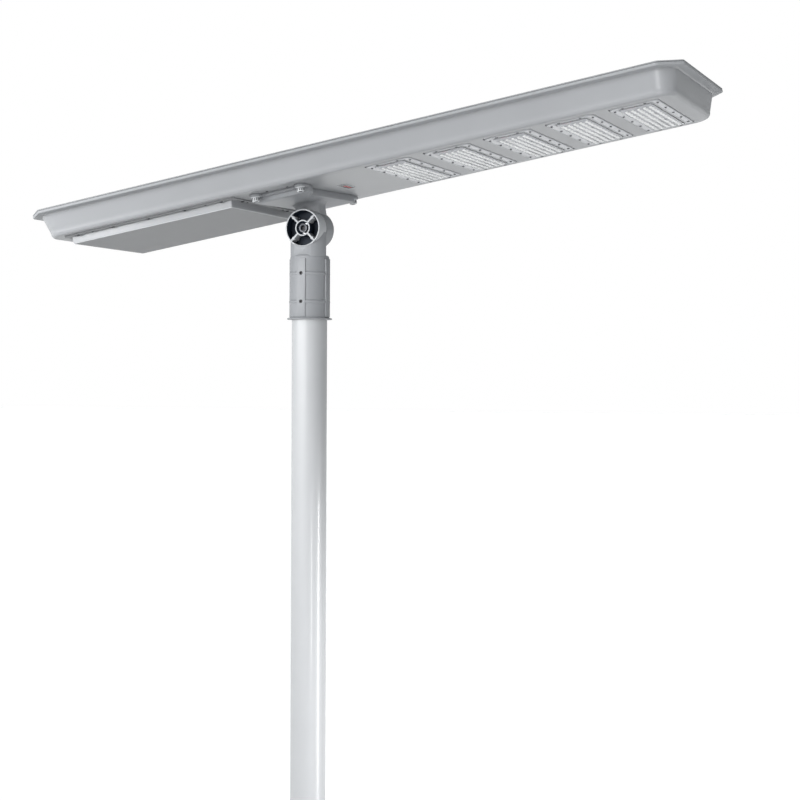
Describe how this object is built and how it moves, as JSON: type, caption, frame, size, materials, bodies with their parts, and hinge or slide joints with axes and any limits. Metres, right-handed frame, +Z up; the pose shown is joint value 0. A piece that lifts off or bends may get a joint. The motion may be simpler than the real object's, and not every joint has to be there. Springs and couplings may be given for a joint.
{
  "type": "solar street lamp",
  "caption": "Flat solar street lamp head with light modules and a battery bay underneath, on a hinged bracket and a sleeve that turns on a pole",
  "frame": {"origin": "on the pole's axis at its lower end", "axes": "+Z up the pole, +X towards the lamp head's light modules, -Y towards the sleeve's spoked face"},
  "size_m": [1.1551, 0.337, 1.4204],
  "materials": {
    "pole_paint": "gloss",
    "cast_paint": "satin powder coat on die-cast aluminium",
    "cover_paint": "satin powder coat on die-cast aluminium",
    "dark_screw": "blackened",
    "zinc_steel": "zinc plated",
    "friction_plastic": "matte",
    "vent_plastic": "matte",
    "black_rubber": "matte",
    "panel_glass": "tempered, smooth",
    "tinned_ribbon": "tinned",
    "silicon_cell": "anti-reflective dark blue",
    "back_sheet": "satin",
    "black_plastic": "matte",
    "lead_jacket": "satin",
    "thermal_pad": "soft, matte",
    "clear_lens": "clear polycarbonate",
    "white_board": "white solder mask on aluminium",
    "led_chip": "phosphor",
    "cell_can": "plastic film sleeve",
    "holder_plastic": "matte",
    "nickel_strip": "bright",
    "green_board": "solder mask",
    "strap_plastic": "matte",
    "lid_plastic": "matte",
    "terminal_plastic": "matte",
    "dark_window": "gloss",
    "red_light": "gloss"
  },
  "bodies": {
    "pole": {"pole_tube": "pole_paint"},
    "sleeve": {"sleeve_casting": "cast_paint", "set_screws": "dark_screw", "pivot_bolt": "dark_screw", "pivot_nut": "zinc_steel", "pivot_washers": "zinc_steel", "friction_disc": "friction_plastic"},
    "head": {"mount_bracket": "cast_paint", "bracket_screws": "zinc_steel", "housing": "cast_paint", "breather_plugs": "vent_plastic", "panel_seal": "black_rubber", "panel_glass": "panel_glass", "cell_ribbons": "tinned_ribbon", "solar_cells": "silicon_cell", "panel_backsheet": "back_sheet", "junction_box": "black_plastic", "panel_leads": "lead_jacket", "led_lens_1": "clear_lens", "led_lens_2": "clear_lens", "led_lens_3": "clear_lens", "led_lens_4": "clear_lens", "led_lens_5": "clear_lens", "led_gasket_1": "black_rubber", "led_gasket_2": "black_rubber", "led_gasket_3": "black_rubber", "led_gasket_4": "black_rubber", "led_gasket_5": "black_rubber", "led_board_1": "white_board", "led_board_2": "white_board", "led_board_3": "white_board", "led_board_4": "white_board", "led_board_5": "white_board", "led_chips_1": "led_chip", "led_chips_2": "led_chip", "led_chips_3": "led_chip", "led_chips_4": "led_chip", "led_chips_5": "led_chip", "thermal_pads": "thermal_pad", "lens_screws": "dark_screw", "wire_grommets": "black_rubber", "led_leads": "lead_jacket", "trunk_cable": "lead_jacket", "battery_cover": "cover_paint", "battery_gasket": "black_rubber", "bay_screws": "dark_screw", "battery_cells": "cell_can", "cell_holders": "holder_plastic", "cell_strips": "nickel_strip", "bms_board": "green_board", "battery_straps": "strap_plastic", "battery_leads": "lead_jacket", "controller_case": "black_plastic", "controller_lid": "lid_plastic", "controller_board": "green_board", "controller_terminals": "terminal_plastic", "indicator_window": "dark_window", "indicator_gasket": "black_rubber", "indicator_board": "green_board", "indicator_lights": "red_light"}
  },
  "joints": [
    {"name": "swivel", "type": "hinge", "parent": "pole", "child": "sleeve", "pos_m": [0, 0, 1.1], "axis": [0, 0, 1], "continuous": true},
    {"name": "tilt", "type": "hinge", "parent": "sleeve", "child": "head", "pos_m": [0, 0, 1.2], "axis": [0, -1, 0], "range_deg": [-20, 80.5]}
  ]
}
